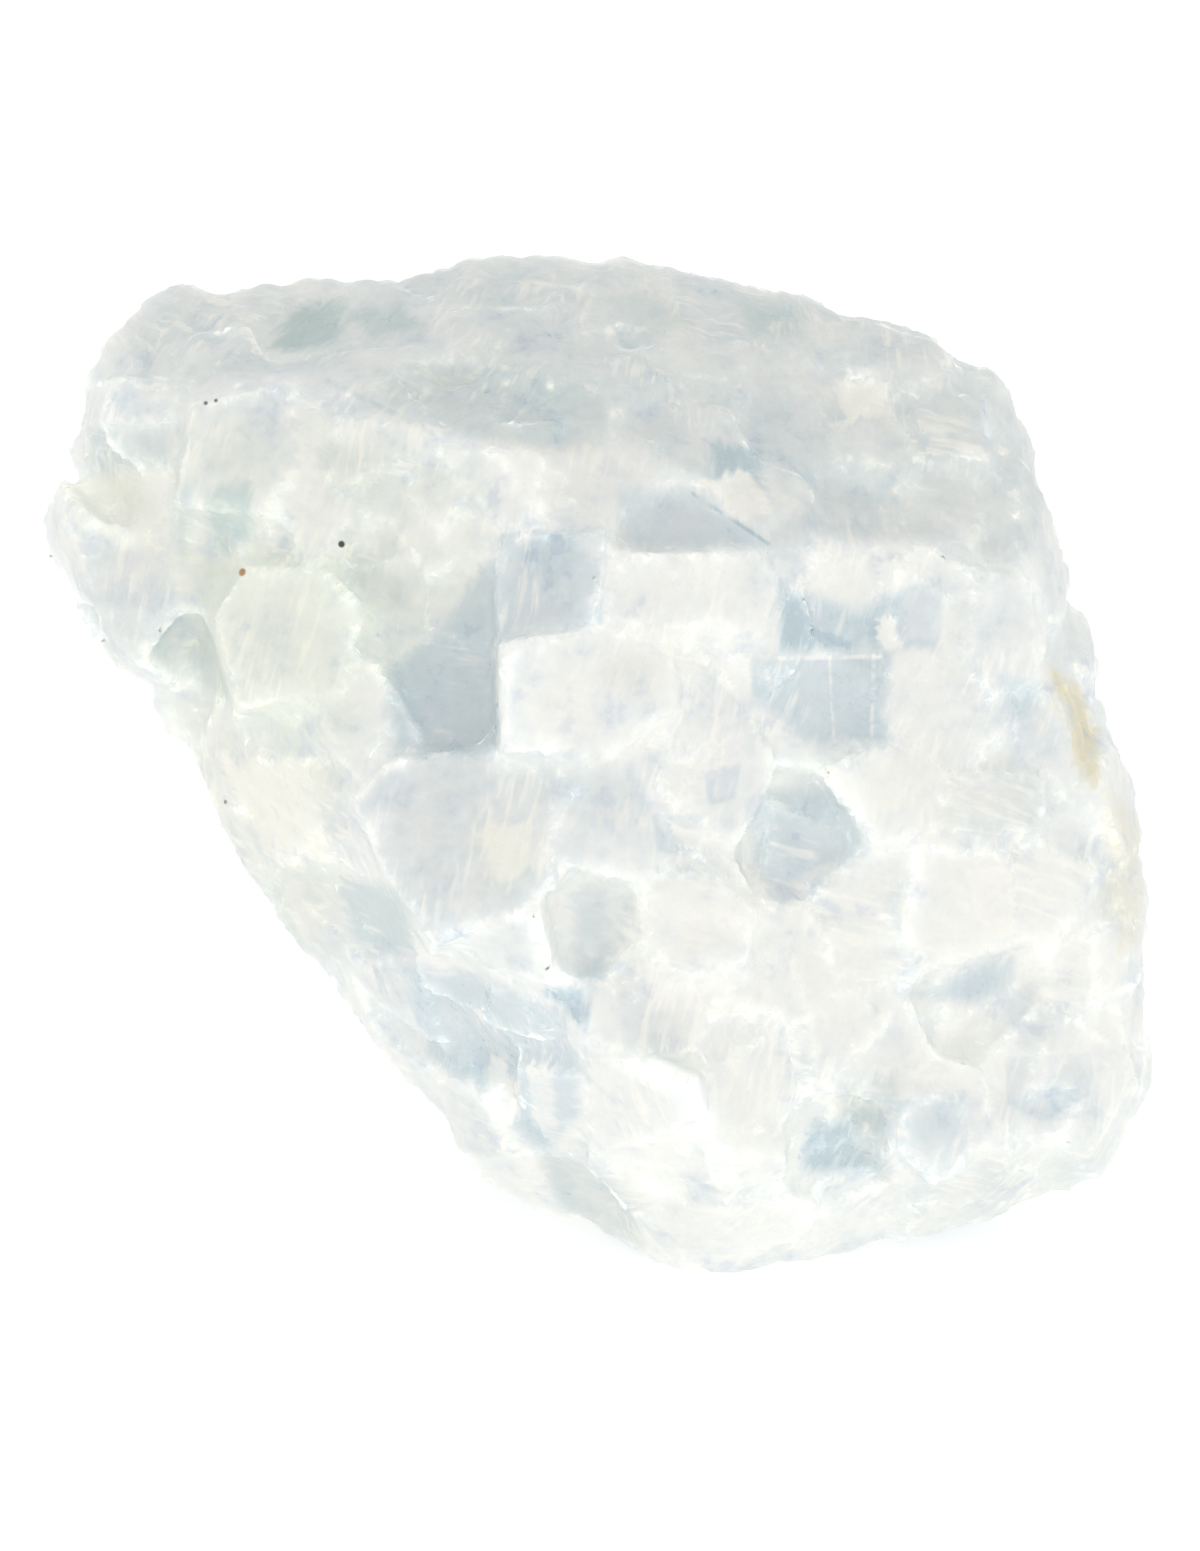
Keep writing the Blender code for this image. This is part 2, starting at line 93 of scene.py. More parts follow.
# Patches on the side that is looked at: a kind, a strength and an outline in picture mm. Some of
# them are painted shade and some painted light, marked where they stand
patches = {
    "deep window": ("blue", 0.85, [
        (-10.4, 13.7), (-7.8, 16.9), (-5.6, 16.9), (-5.6, 1.8), (-10.4, 0.9), (-15.6, 1.8),
        (-16.6, 5.7), (-16, 8.2), (-12.8, 10.5)]),
    "pale pane": ("pane", 1.0, [
        (-7.8, 18.1), (-4.8, 18.4), (0.5, 18.4), (0.2, 11.1), (-3.5, 10.3), (-7.8, 10.5)]),
    "wedge under the crack": ("blue", 0.7, [
        (1.4, 21.4), (7.2, 21.7), (13.1, 17.4), (8, 16.9), (1.8, 17.2)]),
    "upper window": ("blue", 1.05, [
        (14.6, 14.1), (17.2, 13.3), (20, 12.5), (24, 14.3), (26.4, 14.9), (26, 9.7), (21.6, 9.3),
        (14.8, 9.3)]),
    "upper window corner": ("blue", 1.5, [
        (13.8, 14.5), (17.2, 13), (21.4, 9.3), (14.1, 9.2)]),
    "ruled window": ("blue", 0.95, [
        (11.6, 8.7), (22.4, 9.1), (22.2, 2.3), (16, 2.2), (13.6, 4.1), (11.4, 5.7)]),
    "middle window": ("blue", 0.75, [
        (11.4, -2.3), (15.2, -1), (18.8, -2.3), (21, -6.3), (17.6, -7.3), (14, -9.8), (12, -7.9)]),
    "dark slot": ("blue", 0.6, [
        (-2.2, -9.7), (-1, -8.7), (0.5, -9), (0.8, -13.5), (0.3, -17.1), (-1.6, -16.7)]),
    "lower pane": ("blue", 0.85, [
        (-15.6, -15.3), (-10.4, -15.9), (-3.2, -18.3), (-1.8, -21.5), (-1.9, -27.1), (-4.4, -30.3),
        (-6.4, -28.7), (-9.6, -24.7), (-13.6, -23.1)]),
    "blue slot": ("blue", 0.8, [
        (26.8, -17.1), (28.8, -15.5), (32.2, -14.7), (32, -17.5), (29.2, -18.3), (24.4, -17.5)]),
    "dark window": ("blue", 1.4, [
        (15.8, -31.1), (16.6, -27.9), (20, -27.1), (20.2, -29.5), (22.4, -31.1), (21.6, -31.9)]),
    "small blue pane": ("pane", 0.7, [
        (23.2, -25.7), (28.6, -25.5), (28.8, -30.3), (25.6, -32.7), (23, -30.3)]),
    "lavender pane": ("pane", 0.6, [
        (32, -22.7), (38.8, -22.3), (39.2, -25.5), (35.2, -27.9), (32, -26.3)]),
    "splinter": ("blue", 1.0, [
        (2.2, -0.1), (4, -2.7), (3.2, -3.3)]),
    "small facet": ("pane", 0.9, [
        (8, -0.1), (10.8, 0.5), (10.4, -2.3), (8.4, -2.7)]),
    "small facet below": ("pane", 0.8, [
        (4, -3.3), (8, -3.5), (7.2, -6.7), (4.4, -6.3)]),
    "prism": ("pane", 0.4, [
        (-18.8, -2.3), (-16, 0.5), (-10.4, 1.5), (-4.8, 0.1), (-3.4, -2.3), (-3.2, -8.7),
        (-8, -11.5), (-12.8, -13.9), (-16.4, -7.9)]),
    "prism foot": ("blue", 1.6, [
        (-4, -17), (-1, -16.6), (-1.1, -20.1)]),
    "dark pit": ("blue", 1.5, [
        (8.6, 25.3), (12.4, 25), (12.6, 21.5), (8.6, 21.7)]),
    "right chip": ("blue", 0.9, [
        (31.2, 7.3), (35.6, 6.5), (32, 2.5)]),
    "low chip": ("blue", 0.35, [
        (24.4, -19.1), (26.8, -19.5), (26, -21.5)]),
    "roof window": ("teal", 1.0, [
        (-25.6, 33.7), (-24, 36.2), (-20.4, 37.4), (-20.4, 34.1), (-23.2, 33.2)]),
    "roof window end": ("teal", 0.7, [
        (-20.4, 36.2), (-16, 36.7), (-14, 34.9), (-17.6, 34.1)]),
    "roof pane": ("teal", 0.35, [
        (-17.2, 31.3), (-6.4, 31.9), (0.8, 30.1), (0, 26.5), (-3.2, 24.7), (-10.4, 25.7),
        (-16, 28.1)]),
    "roof chip": ("teal", 0.4, [
        (0.8, 37.3), (4, 38.1), (7.2, 35.3), (3.2, 34.1)]),
    "roof chip right": ("teal", 0.6, [
        (10.8, 37.3), (16, 36.9), (16, 34.1), (12, 34.1)]),
    "teal chip": ("teal", 0.7, [
        (-30.6, 21.7), (-27.4, 22.1), (-27, 18.1), (-29.2, 16.9), (-30.8, 18.1)]),
    "dark strip": ("teal", 0.35, [
        (-33.8, 13.5), (-31, 10.5), (-28.8, 6.1), (-31.6, 6.5), (-33.6, 9.7)]),
    "teal streak": ("teal", 0.5, [
        (-33.2, 23.3), (-31.4, 21.7), (-32.8, 16.5), (-33.6, 19.3)]),
    "teal wedge": ("teal", 0.6, [
        (-20.4, -9.1), (-14.8, -8.7), (-14.6, -14.3), (-18.4, -15.1), (-20, -12.7)]),
    "end pane": ("teal", 0.35, [
        (-40.8, 27.1), (-34, 26.9), (-34, 24.1), (-40.4, 23.4)]),
    # Painted shade: the roof is greyed as the top band that the lamps light less
    "roof": ("grey", 0.5, [
        (-38, 36.1), (-33.6, 38.5), (-18.2, 39.8), (-3.7, 41.3), (9.5, 39.2), (22.6, 36.7),
        (32, 31.9), (32, 29.7), (24, 32.1), (11.2, 31.7), (3.2, 28.9), (-0.8, 24.5), (-12.8, 26.1),
        (-18.4, 28.1), (-23.2, 31.3), (-28.8, 31.3), (-36, 29.7)]),
    # Painted shade: the bench is a hollow, greyed as if shaded
    "bench": ("grey", 0.55, [
        (0, 28.9), (11.2, 31.3), (24, 31.9), (32.8, 29.7), (36, 21.7), (34.4, 16.9), (24, 18.1),
        (13.6, 18.1), (8, 22.5), (0, 26.5)]),
    "oval facet": ("grey", 0.65, [
        (10.8, 30.1), (16, 30.9), (17.1, 28.1), (17, 24.1), (14, 22.3), (11, 25.3)]),
    "rounded facet": ("grey", 0.8, [
        (17.6, 22.5), (20.8, 23.3), (22.4, 20.9), (21.2, 17.7), (18, 18.5)]),
    "grey oval": ("grey", 0.6, [
        (-22, 24.1), (-20.4, 25.3), (-16, 24.1), (-16.4, 21.3), (-20.8, 20.5)]),
    # Painted shade: greyed in the recess
    "grey recess": ("grey", 0.7, [
        (-19.8, 18.1), (-18.2, 16.9), (-15, 14.5), (-14.8, 12.5), (-17.2, 12.2), (-19.2, 14.5)]),
    "smudge": ("grey", 0.55, [
        (0.4, 8.2), (4, 8.9), (5.4, 6.5), (3.2, 5), (0, 6.1)]),
    "grey square": ("grey", 0.5, [
        (26.6, 0.1), (30.8, 0.5), (34.8, -0.3), (35, -4.3), (31.2, -5.1), (26.8, -4.6)]),
    "grey corner": ("grey", 0.2, [
        (32, 5.5), (36, 5.7), (36, 0.5), (32.4, 0.7)]),
    # Painted shade: the foot and the foot to the right face down and are greyed as shaded
    "foot": ("grey", 0.9, [
        (-4.8, -30.3), (0, -31.9), (3.2, -33.9), (3.2, -37.5), (-1.6, -37.1), (-3.6, -34.3)]),
    "foot right": ("grey", 0.4, [
        (23.2, -32.7), (32, -30.3), (40.8, -29.5), (39.2, -33.5), (32, -37.1), (24, -37.5)]),
    "pearl": ("grey", 0.4, [
        (-26, -7.1), (-20.4, -7.9), (-20, -15.1), (-24, -15.1), (-27.2, -10.3)]),
    "dull facet": ("grey", 0.3, [
        (-6.4, 0.5), (0.8, 0.1), (3.2, -2.3), (0, -4.7), (-4, -2.3)]),
    "violet facet": ("grey", 1.1, [
        (18.8, -24.7), (23.2, -24.3), (22.8, -28.7), (22.8, -33.1), (20, -31.1)]),
    "end face": ("grey", 0.3, [
        (-42, 17.7), (-34, 17.3), (-34, 8.9), (-39.2, 8.5)]),
    "left face": ("green", 0.8, [
        (-32, 16.9), (-20.8, 16.9), (-17.2, 12.9), (-19.2, 5.7), (-21.6, 1.7), (-28.8, 3.3),
        (-31.6, 10.5)]),
    "left face top": ("warm", 0.6, [
        (-33.2, 28.1), (-16, 26.5), (-8, 21.7), (-9.6, 13.7), (-16, 5.7), (-20, 0.9), (-28.8, 0.9),
        (-32.8, 10.5), (-33.8, 21.7)]),
    "end band": ("warm", 0.5, [
        (-42, 23.4), (-33.8, 23.4), (-33.8, 18.1), (-41.6, 18.1)]),
    "left flank": ("warm", 0.7, [
        (-34.4, 5.7), (-20, 0.9), (-20.8, -10.3), (-24, -15.1), (-28.8, -8.7), (-32.8, -0.7)]),
    "prism core": ("warm", 0.8, [
        (-9.6, -4.7), (-5.6, -4.3), (-4.8, -7.5), (-8.4, -9.1)]),
    "right strip": ("rust", 0.3, [
        (40, -1.5), (43.2, -3.9), (43, -12.7), (41.2, -14.3), (39.6, -10.3)]),
    "rust stain": ("rust", 0.7, [
        (35.6, 8.1), (38, 6.5), (39.6, 2.5), (38.8, -1.1), (36.8, 2.5), (36, 5.7)]),
    "step": ("block", 0.85, [
        (1.3, 16.7), (12.4, 16.9), (11.2, 13.7), (12.8, 10.5), (1.6, 10.5)]),
    "white block": ("block", 0.85, [
        (-7.8, 9.8), (1.6, 10.5), (11.2, 10.5), (12, 4.1), (3.2, 0.9), (-7.8, 1.2)]),
    "shoulder": ("white", 0.9, [
        (16, 0.1), (20, 1.7), (24.4, 1.8), (26.6, -0.3), (26, -4.7), (20.8, -6.3), (18.4, -2.3)]),
    "broad facet": ("white", 0.6, [
        (23.2, -11.9), (24.4, -5.4), (32, -6.3), (32.8, -15.5), (28.8, -15.1), (24.8, -17.1)]),
    "knuckle": ("white", 0.9, [
        (3.2, -7.9), (12, -7.9), (14.4, -15.1), (11.2, -19.1), (4, -18.3), (1.6, -12.7)]),
    "boss": ("white", 0.9, [
        (14.4, -10.3), (21.6, -7.9), (24, -18.3), (20.8, -21.5), (15.2, -18.3)]),
    "right grain": ("white", 0.8, [
        (32.8, -6.3), (39.2, -7.1), (40.8, -16.7), (42.4, -22.3), (38.4, -21.5), (33.6, -15.1)]),
    "frosted grain": ("white", 0.8, [
        (-1.2, -21.5), (8, -22.3), (15.2, -21.5), (15.2, -31.9), (1.6, -33.5), (-0.8, -28.7)]),
    "triangle": ("block", 0.9, [
        (-11.6, -13.1), (-4.4, -9.5), (-3.2, -16.3), (-8, -15.5)]),
    "frosted ledge": ("white", 0.9, [
        (16, 16.1), (26, 16.9), (26, 14.5), (20, 12.9), (16, 14.1)]),
    # Painted light: the end is whitened where the lamps reach it only at a grazing angle
    "end glow": ("white", 1.2, [
        (-42.2, 23.3), (-33.8, 23.4), (-33.8, 18.1), (-41.6, 17.8)]),
    "splash": ("fleckAndGlow", 0.2, [
        (23.4, 13.7), (25.8, 14), (26.1, 10.5), (24.4, 10.1)]),
    "splash low": ("fleckAndGlow", 1.1, [
        (21.4, 11.7), (23, 11.9), (23.2, 9.8), (21.8, 9.7)]),
    # Painted light: each patch named glow paints the stone's glow as full white frost
    "core glow": ("fleckAndGlow", 0.6, [
        (-9.2, -4.6), (-5.8, -4.1), (-5, -7.3), (-8, -8.7)]),
    "crystal": ("fleckAndGlow", 0.8, [
        (8, 22.5), (11.6, 23.4), (13.2, 20.1), (10.8, 19.4)]),
    "left glow": ("fleckAndGlow", 0.6, [
        (-29.4, -0.1), (-24, -0.3), (-22.6, -6.3), (-26.4, -5.9)]),
    "pearl spot": ("fleckAndGlow", 0.6, [
        (3.2, -14.7), (5.2, -14.3), (5.4, -17.1), (3.6, -17.4)]),
    "shoulder glow": ("fleckAndGlow", 0.7, [
        (17.6, 0.5), (24.4, 1.3), (25.2, -2.3), (20, -3.9)]),
    "knuckle glow": ("fleckAndGlow", 0.6, [
        (4.4, -9.1), (9.6, -8.7), (10.8, -12.7), (6.4, -13.9)]),
    "facet glow": ("fleckAndGlow", 0.6, [
        (28.8, -7.9), (32, -7.5), (32.4, -13.1), (30, -13.5)]),
    "block glow": ("fleckAndGlow", 0.5, [
        (-6.4, 6.5), (-1.6, 7.3), (0, 2.9), (-4.8, 2.1)]),
    "crown glow": ("fleckAndGlow", 0.5, [
        (-9.2, 24.1), (-4.8, 24.7), (-3.2, 21.7), (-8, 20.9)]),
    "streaks": ("fleckAndGlow", 0.6, [
        (-9.2, -22.7), (-7.2, -22.3), (-6.4, -27.1), (-8, -28.7), (-9, -25.5)]),
    "streaks right": ("fleckAndGlow", 0.4, [
        (-5.6, -23.1), (-4, -22.7), (-3.5, -27.9), (-5.2, -28.3)]),
    "bridge": ("white", 0.8, [
        (24.8, -18.3), (32, -18.3), (32, -25.5), (24, -24.7)]),
    "frosted foot": ("white", 0.3, [
        (15.2, -32.7), (3.2, -34.3), (4.8, -39.9), (11.2, -40.7), (21.6, -36.7)]),
    "wisps": ("white", 0.9, [
        (-29.6, 0.9), (-21.6, 0.5), (-22, -7.1), (-27.2, -6.3)]),
    "crown": ("white", 0.6, [
        (-9.6, 24.9), (0, 24.1), (0, 18.5), (-8, 18.5)]),
    "bench spot": ("fleckAndGlow", 1.3, [
        (18.8, 30.5), (22.4, 30.5), (22.4, 27.7), (19.2, 27.7)]),
}


# World points as picture right, up and near, in mm
def inPicture(points):
    away = points - np.array(pictureMiddle)
    right = away[:, 0]
    up = away @ np.array(pictureUp)
    near = away @ np.array(pictureNear)
    return np.stack([right, up, near], 1) / mm


# The chunk's surface with a number on each flat facet
def facetMesh(source):
    bm = bmesh.new()
    bm.from_mesh(source.data)
    bm.transform(source.matrix_world)
    bmesh.ops.remove_doubles(bm, verts=bm.verts[:], dist=0.000002)
    bm.normal_update()
    number = bm.faces.layers.int.new("facet")
    flat = math.cos(math.radians(stone["flatAngle"]))
    unseen = set(bm.faces)
    facets = 0
    for first in sorted(bm.faces, key=lambda face: -face.calc_area()):
        if first not in unseen:
            continue
        facets += 1
        unseen.discard(first)
        edge = [first]
        while edge:
            face = edge.pop()
            face[number] = facets
            for side in face.edges:
                for other in side.link_faces:
                    small = other.calc_area() < 1e-9
                    if other in unseen and (small or other.normal.dot(first.normal) > flat):
                        unseen.discard(other)
                        edge.append(other)
    return bm, facets


# The chunk in even small faces, with the narrow joints between its grains filled
def closedForm(source):
    shape = bpy.data.objects.new("closing", source.data.copy())
    shape.data.transform(source.matrix_world)
    bpy.context.scene.collection.objects.link(shape)
    reach = stone["jointFill"] * mm
    for grow in (0.0, reach, -reach):
        if grow:
            swell = shape.modifiers.new("swell", "DISPLACE")
            swell.mid_level = 0.0
            swell.strength = grow
        fuse = shape.modifiers.new("fuse", "REMESH")
        fuse.mode = "VOXEL"
        fuse.voxel_size = stone["grain"] * mm
    graph = bpy.context.evaluated_depsgraph_get()
    made = bpy.data.meshes.new_from_object(shape.evaluated_get(graph))
    bpy.data.objects.remove(shape)
    bm = bmesh.new()
    bm.from_mesh(made)
    keepLargest(bm)
    bmesh.ops.triangulate(bm, faces=bm.faces[:])
    return bm


# Leaves only the outer skin, without bubbles inside
def keepLargest(bm):
    unseen = set(bm.verts)
    pieces = []
    while unseen:
        first = unseen.pop()
        piece = [first]
        edge = [first]
        while edge:
            for side in edge.pop().link_edges:
                for other in side.verts:
                    if other in unseen:
                        unseen.discard(other)
                        piece.append(other)
                        edge.append(other)
        pieces.append(piece)
    pieces.sort(key=len)
    spare = [point for piece in pieces[:-1] for point in piece]
    bmesh.ops.delete(bm, geom=spare, context="VERTS")


# Lays the small faces back on the chunk's flat facets and gives each its facet's number
def fitToFacets(bm, cut):
    number = cut.faces.layers.int["facet"]
    cut.faces.ensure_lookup_table()
    tree = BVHTree.FromBMesh(cut)
    for point in bm.verts:
        place, _, _, gap = tree.find_nearest(point.co)
        if gap < stone["snap"] * mm:
            point.co = place
    facets = []
    for face in bm.faces:
        _, _, index, _ = tree.find_nearest(face.calc_center_median())
        facets.append(cut.faces[index][number])
    return np.array(facets)


# Points, triangles, triangle normals and triangle areas
def readMesh(mesh):
    points = np.empty(len(mesh.vertices) * 3)
    mesh.vertices.foreach_get("co", points)
    points = points.reshape(-1, 3)
    corners = np.empty(len(mesh.loops), np.int64)
    mesh.loops.foreach_get("vertex_index", corners)
    corners = corners.reshape(-1, 3)
    cross = np.cross(points[corners[:, 1]] - points[corners[:, 0]],
                     points[corners[:, 2]] - points[corners[:, 0]])
    area = np.linalg.norm(cross, axis=1) / 2
    return points, corners, cross / (2 * area[:, None] + 1e-20), area


# The outward direction at each point
def outwardOf(points, corners):
    cross = np.cross(points[corners[:, 1]] - points[corners[:, 0]],
                     points[corners[:, 2]] - points[corners[:, 0]])
    total = np.zeros_like(points)
    for axis in range(3):
        for k in range(3):
            total[:, axis] += np.bincount(corners[:, k], cross[:, axis], len(points))
    return total / (np.linalg.norm(total, axis=1)[:, None] + 1e-20)


# For each facet two directions in its plane, as calcite cleaves
def facetSides(normals, facet, area, count):
    rng = random.Random(stone["seed"])
    mean = np.zeros((count + 1, 3))
    np.add.at(mean, facet, normals * area[:, None])
    along = np.zeros_like(mean)
    across = np.zeros_like(mean)
    for n in range(1, count + 1):
        out = Vector(mean[n]).normalized()
        turn = rng.uniform(-0.15, 0.15) + rng.choice((0, 0, math.pi / 2))
        side = pictureUp - out * pictureUp.dot(out)
        side = Matrix.Rotation(turn, 3, out) @ side.normalized()
        along[n] = side
        across[n] = Matrix.Rotation(math.radians(stone["cleavageAngle"]), 3, out) @ side
    return along, across


# How far each point is from an outward crease between facets, in mm
def creaseDistance(points, corners, normals, sharp):
    edges = {}
    for f, tri in enumerate(corners.tolist()):
        for k in range(3):
            a, b = tri[k], tri[(k + 1) % 3]
            edges.setdefault((min(a, b), max(a, b)), []).append(f)
    tree = []
    centres = points[corners].mean(1)
    for (a, b), faces in edges.items():
        if len(faces) == 2:
            one, two = faces
            if normals[one].dot(normals[two]) < sharp:
                if (centres[two] - centres[one]).dot(normals[one]) < 0:
                    tree.append((points[a] + points[b]) / 2)
    found = KDTree(len(tree))
    for n, place in enumerate(tree):
        found.insert(place, n)
    found.balance()
    return np.array([found.find(p)[2] for p in points.tolist()]) / mm


# Smooth noise between about -1 and 1 at points in mm, for bumps of a size in mm
def noiseAt(points, size, shift=0.0, octaves=2):
    placed = (points / size + shift).tolist()
    return np.array([noise.fractal(p, 1.0, 2.0, octaves) for p in placed])


# One of the stone's kinds of bump, in mm
def bumps(at, kind):
    height, size, shift, octaves = stone[kind]
    return height * noiseAt(at, size, shift, octaves)


# Signed distance to an outline in the picture plane, positive inside
def insideDistance(places, outline):
    corners = np.array(outline)
    nearest = np.full(len(places), 1e9)
    inside = np.zeros(len(places), bool)
    for a, b in zip(corners, np.roll(corners, -1, 0)):
        side = b - a
        t = np.clip(((places - a) @ side) / (side @ side), 0, 1)
        gap = np.linalg.norm(places - a - t[:, None] * side, axis=1)
        nearest = np.minimum(nearest, gap)
        crosses = (a[1] > places[:, 1]) != (b[1] > places[:, 1])
        rise = b[1] - a[1] if b[1] != a[1] else 1e-9
        meets = (b[0] - a[0]) * (places[:, 1] - a[1]) / rise + a[0]
        inside ^= crosses & (places[:, 0] < meets)
    return np.where(inside, nearest, -nearest)


# A distance field and a strength for each kind of patch
def patchFields(places, facing):
    farOutside = -6.0
    edgeReach = -1.6
    count = len(places)
    fields = {}
    for kind, strength, outline in patches.values():
        field, depth = fields.setdefault(kind, [np.full(count, farOutside), np.zeros(count)])
        distance = insideDistance(places[:, :2], outline)
        distance = np.where(facing, distance, farOutside)
        nearer = distance > field
        depth[nearer & (distance > edgeReach)] = strength
        field[nearer] = distance[nearer]
    return fields


# Eases from 0 to 1 between low and high
def softStep(value, low, high):
    t = np.clip((value - low) / (high - low), 0, 1)
    return t * t * (3 - 2 * t)


# Fills the joints between grains and wears down the rough ground's edges
def settle(points, corners, rough):
    pairs = np.concatenate([corners[:, [0, 1]], corners[:, [1, 2]], corners[:, [2, 0]]])
    pairs = np.unique(np.sort(pairs, 1), axis=0)
    one, two = pairs[:, 0], pairs[:, 1]
    count = len(points)
    links = np.bincount(one, minlength=count) + np.bincount(two, minlength=count)
    onSpot = points[:, 2] < stone["onTable"] * mm
    up = stone["fill"] * (0.45 + 0.55 * rough)
    low = stone["wear"] * rough
    moved = points.copy()
    for step in range(stone["fillRounds"]):
        if step % 3 == 0:
            outward = outwardOf(moved, corners)
        mean = np.zeros_like(moved)
        for axis in range(3):
            mean[:, axis] = np.bincount(one, moved[two, axis], count)
            mean[:, axis] += np.bincount(two, moved[one, axis], count)
        lift = np.einsum("ij,ij->i", mean / links[:, None] - moved, outward)
        lift = np.where(lift > 0, lift * up, lift * low)
        moved += outward * np.where(onSpot, 0, lift)[:, None]
    return moved


# Moves the points in and out: cleavage steps, undulation, grit, chips and windows
def relief(points, corners, normals, owner, frames, rough, fields):
    along, across = frames
    at = points / mm
    outward = outwardOf(points, corners)
    a = np.einsum("ij,ij->i", at, along[owner])
    b = np.einsum("ij,ij->i", at, across[owner])
    tread, length, width, steps = stone["terrace"]
    ownPattern = owner * 7.31
    stepped = noiseAt(np.stack([a / length, b / width, ownPattern], 1), 1.0)
    height = tread * np.round(stepped * steps) / steps * (1 - 0.6 * rough)
    height += bumps(at, "undulation") + bumps(at, "grit") + rough * bumps(at, "crumbly")
    crease = creaseDistance(points, corners, normals, math.cos(math.radians(stone["creaseAngle"])))
    near = np.clip(1 - crease / stone["chipReach"], 0, 1)
    chipDepth, chipSize, chipShift, octaves = stone["chips"]
    bite = np.clip(noiseAt(at, chipSize, chipShift, octaves) + 0.15, 0, 1)
    height -= chipDepth * near * bite
    height = np.minimum(height, stone["highest"])
    moved = points + outward * height[:, None] * mm
    for kind, depth in stone["recess"].items():
        field, strength = fields[kind]
        sink = depth * softStep(field, -0.4, 0.8) * strength
        moved -= np.array(pictureNear) * sink[:, None] * mm
    low, high = np.array(cadBox[0]), np.array(cadBox[1])
    onSpot = points[:, 2] < stone["onTable"] * mm
    moved = np.clip(moved, low, high)
    moved[onSpot, 2] = 0.0
    return moved, crease


# Stores one number for each point or face
def putFloats(mesh, name, values, domain="POINT"):
    layer = mesh.attributes.new(name, "FLOAT", domain)
    layer.data.foreach_set("value", np.ascontiguousarray(values, np.float32))


# Where the break is crumbly instead of cleaved: the roof, the bench and parts of the back
def roughness(places, facing, at):
    rough = softStep(noiseAt(at, *stone["roughPatch"]), 0.0, 0.5) * np.where(facing, 0.35, 0.8)
    for name in stone["roughPlaces"]:
        inside = insideDistance(places[:, :2], patches[name][2])
        rough = np.maximum(rough, softStep(inside, -1.5, 1.5) * facing)
    return rough


# The chunk as it is seen: its facets with the small relief, and its patches
def makeStone():
    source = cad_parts["calcite"]
    cut, count = facetMesh(source)
    bm = closedForm(source)
    facet = fitToFacets(bm, cut)
    mesh = bpy.data.meshes.new("calcite surface")
    bm.to_mesh(mesh)
    bm.free()
    cut.free()
    points, corners, normals, area = readMesh(mesh)
    print("facets", count, "triangles", len(facet), flush=True)
    frames = facetSides(normals, facet, area, count)
    owner = np.zeros(len(points), np.int64)
    for k in range(3):
        owner[corners[:, k]] = facet
    places = inPicture(points)
    facing = outwardOf(points, corners) @ np.array(pictureNear) > stone["seenSlope"]
    facing &= places[:, 2] > stone["seenDepth"]
    fields = patchFields(places, facing)
    rough = roughness(places, facing, points / mm)
    settled = settle(points, corners, rough)
    mesh.vertices.foreach_set("co", settled.ravel())
    settled, corners, normals, area = readMesh(mesh)
    moved, crease = relief(settled, corners, normals, owner, frames, rough, fields)
    mesh.vertices.foreach_set("co", moved.ravel())
    print("relief made", flush=True)

    for kind, (field, depth) in fields.items():
        putFloats(mesh, kind + "Field", field)
        putFloats(mesh, kind + "Depth", depth)
    putFloats(mesh, "seenSide", facing.astype(float))
    putFloats(mesh, "rough", rough)
    putFloats(mesh, "crease", np.clip(crease, 0, 5))
    rng = np.random.default_rng(stone["seed"])
    tone = rng.uniform(-1, 1, count + 1)
    putFloats(mesh, "facetTone", tone[facet], "FACE")
    along, across = frames
    sides = np.empty((len(mesh.loops), 3), np.float32)
    own = np.repeat(facet, 3)
    at = points[corners.ravel()] / mm
    sides[:, 0] = np.einsum("ij,ij->i", at, along[own])
    sides[:, 1] = np.einsum("ij,ij->i", at, across[own])
    sides[:, 2] = own * 3.7  # gives each facet its own pattern
    layer = mesh.attributes.new("facetPlace", "FLOAT_VECTOR", "CORNER")
    layer.data.foreach_set("vector", sides.ravel())
    for polygon in mesh.polygons:
        polygon.use_smooth = True
    mesh.set_sharp_from_angle(angle=math.radians(stone["smoothAngle"]))
    made = bpy.data.objects.new("calciteChunk", mesh)
    bpy.context.scene.collection.objects.link(made)
    return made


